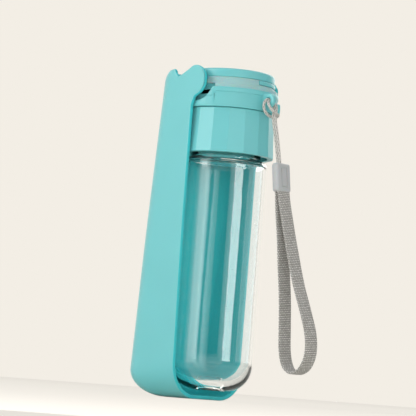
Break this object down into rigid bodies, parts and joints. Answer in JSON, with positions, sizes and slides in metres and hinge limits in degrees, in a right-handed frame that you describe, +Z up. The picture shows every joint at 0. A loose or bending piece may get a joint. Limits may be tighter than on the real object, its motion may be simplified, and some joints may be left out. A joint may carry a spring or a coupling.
{
  "type": "dog travel water bottle",
  "caption": "Portable pet water bottle: clear bottle under a push-button head, with a drinking bowl hinged to the head and a wrist strap.",
  "frame": {"origin": "middle of the flat face of the bowl's foot, on the surface that the bottle stands on", "axes": "+Z up along the bottle, +X towards the front of the head with its eyelet, +Y towards the side that holds the push button"},
  "size_m": [0.1257, 0.0662, 0.207],
  "materials": {
    "teal_shell": "moulded ABS, satin gloss",
    "teal_inner": "moulded acetal, satin",
    "milky_seal": "translucent silicone",
    "seal_rubber": "plain silicone",
    "white_plastic": "moulded acetal",
    "spring_steel": "drawn stainless wire",
    "clear_bottle": "clear moulded copolyester",
    "strap_textile": "woven polyester, grey and white",
    "grey_plastic": "moulded, satin"
  },
  "bodies": {
    "head": {"head_body": "teal_shell", "outlet_cap": "teal_shell", "cap_o_ring": "seal_rubber", "seal_band_front": "milky_seal", "seal_band_rear": "milky_seal", "gasket_ring_front": "milky_seal", "gasket_ring_rear": "milky_seal", "valve_seat": "white_plastic", "button_seal": "seal_rubber", "hinge_washer_left": "white_plastic", "hinge_washer_right": "white_plastic", "valve_spring": "spring_steel", "lanyard_cord": "strap_textile", "cord_slider": "grey_plastic", "wrist_loop": "strap_textile"},
    "bowl": {"bowl": "teal_shell", "hinge_pin_left": "teal_inner", "hinge_pin_right": "teal_inner"},
    "collar": {"grip_collar": "teal_shell"},
    "bottle": {"bottle": "clear_bottle", "neck_gasket": "seal_rubber"},
    "lock": {"lock_slide": "teal_shell"},
    "button": {"push_button": "teal_shell"},
    "valve": {"valve_stem": "white_plastic", "valve_disc": "seal_rubber", "valve_nut": "spring_steel"}
  },
  "joints": [
    {"name": "bowl_hinge", "type": "hinge", "parent": "head", "child": "bowl", "pos_m": [0.01675, 0, 0.1982], "axis": [0, 1, 0], "range_deg": [0, 165]},
    {"name": "collar_turn", "type": "hinge", "parent": "head", "child": "collar", "pos_m": [0.01675, 0, 0.168], "axis": [0, 0, 1], "range_deg": [0, 160]},
    {"name": "bottle_drop", "type": "slide", "parent": "head", "child": "bottle", "axis": [0, 0, -1], "range_m": [0, 0.0012]},
    {"name": "lock_turn", "type": "hinge", "parent": "head", "child": "lock", "pos_m": [0.01675, 0, 0.1999], "axis": [0, 0, 1], "range_deg": [0, 12]},
    {"name": "button_press", "type": "slide", "parent": "head", "child": "button", "axis": [-0.6428, -0.766, 0], "range_m": [0, 0.0016], "stiffness_N_per_m": 900, "springref_m": -0.001},
    {"name": "valve_lift", "type": "slide", "parent": "head", "child": "valve", "axis": [0, 0, -1], "range_m": [0, 0.0016], "deforming": ["valve_spring"]}
  ],
  "couplings": [
    {"joint": "collar_turn", "follows": "bottle_drop", "rad_per_m": 2327.1},
    {"joint": "valve_lift", "follows": "button_press", "ratio": 1}
  ]
}
